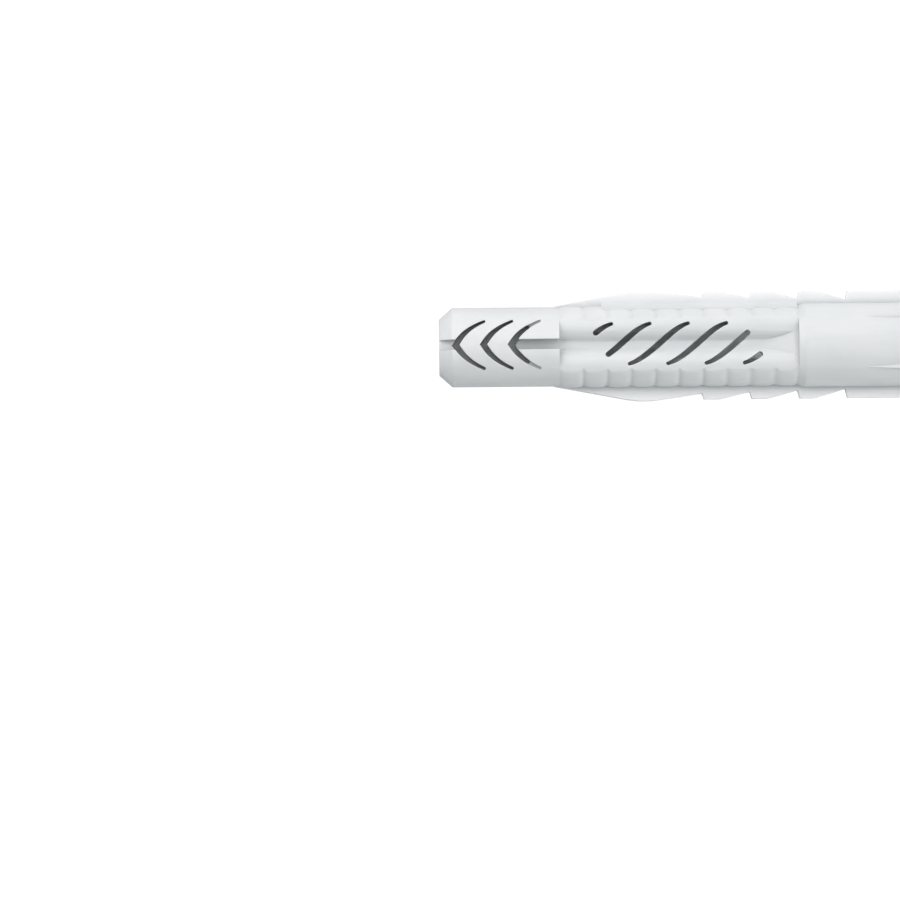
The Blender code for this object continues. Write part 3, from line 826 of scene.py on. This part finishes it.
def grain_group():
    """Node group: fine grain on object coordinates, as a mask and a height."""
    tree = bpy.data.node_groups.new("surface_grain", "ShaderNodeTree")
    tree.interface.new_socket("Coordinate", in_out="INPUT", socket_type="NodeSocketVector")
    tree.interface.new_socket("Frequency", in_out="INPUT", socket_type="NodeSocketFloat")
    tree.interface.new_socket("Mask", in_out="OUTPUT", socket_type="NodeSocketFloat")
    tree.interface.new_socket("Height", in_out="OUTPUT", socket_type="NodeSocketFloat")
    start = add_node(tree, "NodeGroupInput", (-600, 0))
    end = add_node(tree, "NodeGroupOutput", (400, 0))
    coarse = add_node(tree, "ShaderNodeTexNoise", (-300, 150), Detail=2.0, Roughness=0.55)
    fine = add_node(tree, "ShaderNodeTexNoise", (-300, -150), Detail=3.0, Roughness=0.6)
    finer = add_node(tree, "ShaderNodeMath", (-450, -200), operation="MULTIPLY")
    finer.inputs[1].default_value = FINE_GRAIN_FREQUENCY
    both = add_node(tree, "ShaderNodeMath", (100, -50), operation="MULTIPLY_ADD")
    both.inputs[1].default_value = FINE_GRAIN_HEIGHT
    link(tree, start.outputs["Coordinate"], coarse.inputs["Vector"])
    link(tree, start.outputs["Coordinate"], fine.inputs["Vector"])
    link(tree, start.outputs["Frequency"], coarse.inputs["Scale"])
    link(tree, start.outputs["Frequency"], finer.inputs[0])
    link(tree, finer.outputs[0], fine.inputs["Scale"])
    link(tree, fine.outputs[0], both.inputs[0])
    link(tree, coarse.outputs[0], both.inputs[2])
    link(tree, coarse.outputs[0], end.inputs["Mask"])
    link(tree, both.outputs[0], end.inputs["Height"])
    return tree


def nylon(finish, grain):
    """Satin moulded nylon: cloudy, faintly streaked along the plug, finely grained, with painted
    shade in creases and a painted glow on the fins.
    """
    material = bpy.data.materials.new("light_grey_nylon")
    material.use_nodes = True
    tree = material.node_tree
    shader = tree.nodes["Principled BSDF"]
    set_up(
        shader,
        IOR=NYLON_IOR,
        Subsurface_Weight=finish.scatter,
        Subsurface_Scale=finish.scatter_depth,
        Subsurface_Radius=SCATTER_RADII,
    )
    where = add_node(tree, "ShaderNodeTexCoord", (-1400, 0))
    stretch = add_node(tree, "ShaderNodeMapping", (-1200, -200), Scale=STREAK_SCALE)
    cloud = add_node(
        tree, "ShaderNodeTexNoise", (-1000, 300),
        Scale=1 / finish.cloud_size, Detail=3.0, Roughness=0.5,
    )
    flow = add_node(
        tree, "ShaderNodeTexNoise", (-1000, 0),
        Scale=1 / finish.flow_size, Detail=4.0, Roughness=0.6,
    )
    fine = add_node(
        tree, "ShaderNodeGroup", (-1000, -300), node_tree=grain, Frequency=1 / finish.grain_size
    )
    mixed = add_node(tree, "ShaderNodeMath", (-800, 200), operation="MULTIPLY")
    tone = add_node(tree, "ShaderNodeMix", (-500, 300), data_type="RGBA", clamp_factor=True)
    tone.inputs[6].default_value = (*finish.tone, 1.0)
    tone.inputs[7].default_value = (*finish.deep_tone, 1.0)
    depth = add_node(
        tree, "ShaderNodeMapRange", (-650, 200), From_Min=CLOUD_FROM, From_Max=CLOUD_TO
    )
    sheen = add_node(
        tree, "ShaderNodeMapRange", (-500, 0), From_Min=SHEEN_FROM, From_Max=SHEEN_TO,
        To_Min=finish.roughness - SMOOTHER, To_Max=finish.roughness + ROUGHER,
    )
    edge = add_node(tree, "ShaderNodeBevel", (-500, -400), samples=6, Radius=finish.edge)
    bump = add_node(
        tree, "ShaderNodeBump", (-250, -200), Strength=1.0, Distance=finish.grain_depth
    )
    link(tree, where.outputs["Object"], cloud.inputs["Vector"])
    link(tree, where.outputs["Object"], stretch.inputs["Vector"])
    link(tree, stretch.outputs["Vector"], flow.inputs["Vector"])
    link(tree, where.outputs["Object"], fine.inputs["Coordinate"])
    link(tree, cloud.outputs[0], mixed.inputs[0])
    link(tree, flow.outputs[0], mixed.inputs[1])
    link(tree, mixed.outputs[0], depth.inputs["Value"])
    link(tree, depth.outputs["Result"], tone.inputs["Factor"])
    # Painted light: the tone turns paler with distance from the middle plane, out over the fins,
    # to stand in for light shining through them.
    axes = add_node(tree, "ShaderNodeSeparateXYZ", (-1200, 600))
    beside = add_node(tree, "ShaderNodeMath", (-1000, 600), operation="ABSOLUTE")
    thin = add_node(
        tree, "ShaderNodeMapRange", (-800, 600),
        From_Min=finish.painted_glow_start, From_Max=finish.painted_glow_end,
    )
    paler = add_node(tree, "ShaderNodeMix", (-300, 400), data_type="RGBA", clamp_factor=True)
    paler.inputs[7].default_value = (*finish.painted_glow_tone, 1.0)
    # Painted shade: ambient occlusion within this reach darkens the tone in creases, slots and
    # notches, where shade falls.
    painted_shade_mask = add_node(
        tree, "ShaderNodeAmbientOcclusion", (-300, 700), samples=8, Distance=finish.crease
    )
    with_painted_shade = add_node(tree, "ShaderNodeMix", (-100, 400), data_type="RGBA", clamp_factor=True)
    with_painted_shade.inputs[6].default_value = (*finish.painted_crease_shade, 1.0)
    link(tree, where.outputs["Object"], axes.inputs[0])
    link(tree, axes.outputs["X"], beside.inputs[0])
    link(tree, beside.outputs[0], thin.inputs["Value"])
    link(tree, thin.outputs["Result"], paler.inputs["Factor"])
    link(tree, tone.outputs[2], paler.inputs[6])
    link(tree, painted_shade_mask.outputs["AO"], with_painted_shade.inputs["Factor"])
    link(tree, paler.outputs[2], with_painted_shade.inputs[7])
    link(tree, with_painted_shade.outputs[2], shader.inputs["Base Color"])
    link(tree, flow.outputs[0], sheen.inputs["Value"])
    link(tree, sheen.outputs["Result"], shader.inputs["Roughness"])
    link(tree, fine.outputs["Height"], bump.inputs["Height"])
    link(tree, edge.outputs["Normal"], bump.inputs["Normal"])
    link(tree, bump.outputs["Normal"], shader.inputs["Normal"])
    return material


class WALLPLUG_OT_moulding(bpy.types.Operator):
    """Models the one-piece nylon moulding and gives it its finish"""

    bl_idname = "wallplug.moulding"
    bl_label = "Model the moulding"

    def execute(self, context):
        bench = Bench(context.scene)
        plug = turned_body(bench)
        for form in (rib_bands, fin_feet, fins, ridges, seam):
            combine(plug, form(bench), "UNION")
        for form in (below_mouth, windows, link_grooves, tip_grooves, chevrons, chevron_ends):
            combine(plug, form(bench), "DIFFERENCE")
        for front in (True, False):
            combine(plug, slanted_slots(bench, front), "DIFFERENCE")
        if not plug.data.polygons:
            raise RuntimeError("the moulding came out empty")
        bpy.ops.object.mode_set(mode="EDIT")
        finished(plug)
        bpy.ops.object.shade_smooth_by_angle(angle=SMOOTH_ANGLE)
        normals = plug.modifiers.new("normals", "WEIGHTED_NORMAL")
        normals.keep_sharp = True
        apply(plug, normals)
        plug.data.materials.clear()
        plug.data.materials.append(nylon(context.scene.nylon_finish, grain_group()))
        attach(plug, "root")
        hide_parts(NODE)
        return {"FINISHED"}


def floor_material(glow):
    """Pale matt board with a faint tooth, lit through from below."""
    material = bpy.data.materials.new("pale_board")
    material.use_nodes = True
    tree = material.node_tree
    shader = tree.nodes["Principled BSDF"]
    set_up(
        shader,
        Base_Color=FLOOR_TONE,
        Roughness=FLOOR_ROUGHNESS,
        Specular_IOR_Level=FLOOR_SHINE,
        Emission_Color=WHITE,
        Emission_Strength=glow,
    )
    where = add_node(tree, "ShaderNodeTexCoord", (-800, 0))
    grain = bpy.data.node_groups["surface_grain"]
    fine = add_node(
        tree, "ShaderNodeGroup", (-600, 0), node_tree=grain, Frequency=FLOOR_GRAIN
    )
    bump = add_node(tree, "ShaderNodeBump", (-300, -100), Strength=0.3, Distance=FLOOR_TOOTH)
    link(tree, where.outputs["Object"], fine.inputs["Coordinate"])
    link(tree, fine.outputs["Height"], bump.inputs["Height"])
    link(tree, bump.outputs["Normal"], shader.inputs["Normal"])
    return material


def area_light(name, place, target, power, side):
    """A square soft light that faces the target."""
    bpy.ops.object.light_add(type="AREA", location=place)
    light = bpy.context.object
    light.name = name
    light.data.energy = power
    light.data.size = side
    light.rotation_mode = "QUATERNION"
    light.rotation_quaternion = (target - Vector(place)).to_track_quat("-Z", "Y")
    return light


class WALLPLUG_OT_stage(bpy.types.Operator):
    """Lays the floor, sets the light and places the camera"""

    bl_idname = "wallplug.stage"
    bl_label = "Set the stage"

    def execute(self, context):
        setup = context.scene.stage_setup
        length = context.scene.plug_body.length
        bpy.ops.object.select_all(action="DESELECT")
        bpy.ops.mesh.primitive_circle_add(
            vertices=FLOOR_SIDES, radius=setup.floor_size / 2, fill_type="NGON",
            location=(0, 0, -FLOOR_GAP),
        )
        floor = context.object
        floor.name = "floor"
        floor.data.materials.append(floor_material(setup.floor_glow))
        self.light(context, setup, length)
        self.place_camera(context, setup, length)
        return {"FINISHED"}

    def light(self, context, setup, length):
        """A pale room, a white backdrop, three soft lights and the glow in the bore."""
        world = bpy.data.worlds.new("soft_room")
        world.use_nodes = True
        tree = world.node_tree
        room = tree.nodes["Background"]
        set_up(room, Color=(*setup.room, 1.0), Strength=setup.room_strength)
        backdrop = add_node(
            tree, "ShaderNodeBackground", (0, -200),
            Color=WHITE, Strength=setup.backdrop_strength,
        )
        rays = add_node(tree, "ShaderNodeLightPath", (0, 300))
        either = add_node(tree, "ShaderNodeMixShader", (200, 0))
        link(tree, rays.outputs["Is Camera Ray"], either.inputs[0])
        link(tree, room.outputs[0], either.inputs[1])
        link(tree, backdrop.outputs[0], either.inputs[2])
        link(tree, either.outputs[0], tree.nodes["World Output"].inputs[0])
        context.scene.world = world
        middle = Vector((0, 0, length / 2))
        key = area_light("key_light", KEY_PLACE, middle, setup.key_power, setup.key_size)
        key.data.color = setup.key_colour
        area_light("front_light", FRONT_PLACE, middle, setup.front_power, setup.key_size)
        area_light("top_light", TOP_PLACE, middle, setup.top_power, setup.top_size)
        bore = context.scene.plug_body.mouth_bore_radius
        area_light("bore_light", (0, 0, bore / 4), middle, setup.bore_power, bore)
        context.scene.view_settings.view_transform = "Standard"

    def place_camera(self, context, setup, length):
        """Looks at the plug's front from a camera on its side, so that the tip is to the left."""
        bpy.ops.object.camera_add(location=(0, 0, 0))
        camera = context.object
        camera.name = "camera"
        camera.data.lens = setup.lens
        camera.data.sensor_width = setup.sensor
        half = setup.image / 2
        across = setup.image * setup.scale
        distance = across * setup.lens / setup.sensor
        back = Vector((math.sin(setup.azimuth), -math.cos(setup.azimuth), 0.0))
        up = Vector((math.cos(setup.azimuth), math.sin(setup.azimuth), 0.0))
        level = length - (half - setup.tip_x) * setup.scale
        aim = Vector((0, 0, level)) - up * (half - setup.axis_y) * setup.scale
        camera.location = Vector((0, 0, level)) + back * distance
        camera.rotation_mode = "QUATERNION"
        roll = Quaternion((0, 0, 1), -math.pi / 2 - setup.tilt)
        camera.rotation_quaternion = (aim - camera.location).to_track_quat("-Z", "Y") @ roll
        camera.data.clip_start = distance * NEAREST_SEEN
        camera.data.clip_end = setup.floor_size
        context.scene.camera = camera


class WALLPLUG_PT_sidebar(bpy.types.Panel):
    """Lists the steps and the sizes"""

    bl_label = "Wall Plug"
    bl_space_type = "VIEW_3D"
    bl_region_type = "UI"
    bl_category = "Wall Plug"

    def draw(self, context):
        layout = self.layout
        for step in STEPS:
            layout.operator(step.bl_idname)
        for holder in SETTINGS:
            settings = getattr(context.scene, holder)
            box = layout.box()
            for key in settings.bl_rna.properties.keys():
                if key not in {"rna_type", "name"}:
                    box.prop(settings, key)


STEPS = (WALLPLUG_OT_moulding, WALLPLUG_OT_stage)
SETTINGS = {
    "plug_body": PlugBody,
    "plug_slots": PlugSlots,
    "plug_fins": PlugFins,
    "plug_fineness": PlugFineness,
    "nylon_finish": NylonFinish,
    "stage_setup": StageSetup,
}


def register():
    for holder, group in SETTINGS.items():
        bpy.utils.register_class(group)
        setattr(bpy.types.Scene, holder, PointerProperty(type=group))
    for step in STEPS:
        bpy.utils.register_class(step)
    bpy.utils.register_class(WALLPLUG_PT_sidebar)


def unregister():
    bpy.utils.unregister_class(WALLPLUG_PT_sidebar)
    for step in reversed(STEPS):
        bpy.utils.unregister_class(step)
    for holder, group in reversed(list(SETTINGS.items())):
        delattr(bpy.types.Scene, holder)
        bpy.utils.unregister_class(group)


def main():
    register()
    bpy.ops.wallplug.moulding()
    bpy.ops.wallplug.stage()


if __name__ == "__main__":
    main()
